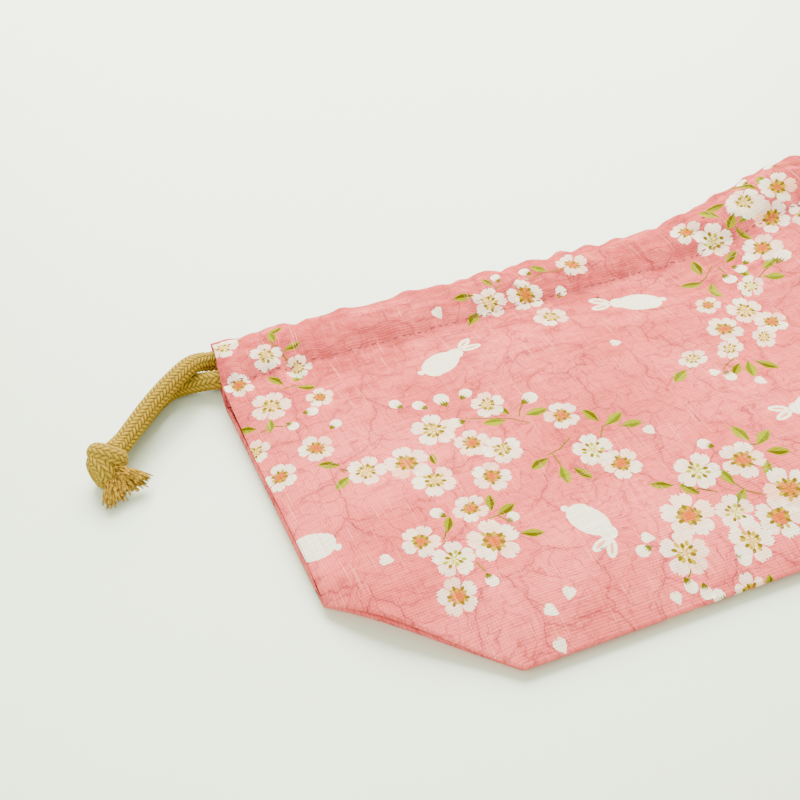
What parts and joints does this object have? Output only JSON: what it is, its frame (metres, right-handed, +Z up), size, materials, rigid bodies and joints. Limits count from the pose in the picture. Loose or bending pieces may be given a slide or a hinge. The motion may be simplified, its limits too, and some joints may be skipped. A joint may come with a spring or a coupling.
{
  "type": "drawstring pouch",
  "caption": "Flat-lying kinchaku pouch of printed cotton with a boxed base tucked inside, a gaping casing mouth and a knotted braided drawstring.",
  "frame": {"origin": "middle of the pouch cloth, on the surface that it lies on", "axes": "+X along the mouth away from the knotted cord ends, +Y from the bottom fold towards the mouth, +Z up out of the front panel"},
  "size_m": [0.3458, 0.153, 0.0274],
  "materials": {
    "printed_cotton": "matte slub plain weave with a printed pattern",
    "cotton_cord": "matte braided cotton"
  },
  "bodies": {
    "root": {"back_panel": "printed_cotton", "front_panel": "printed_cotton", "drawstring": "cotton_cord", "drawstring_knot": "cotton_cord", "drawstring_tuft": "cotton_cord"}
  },
  "joints": []
}
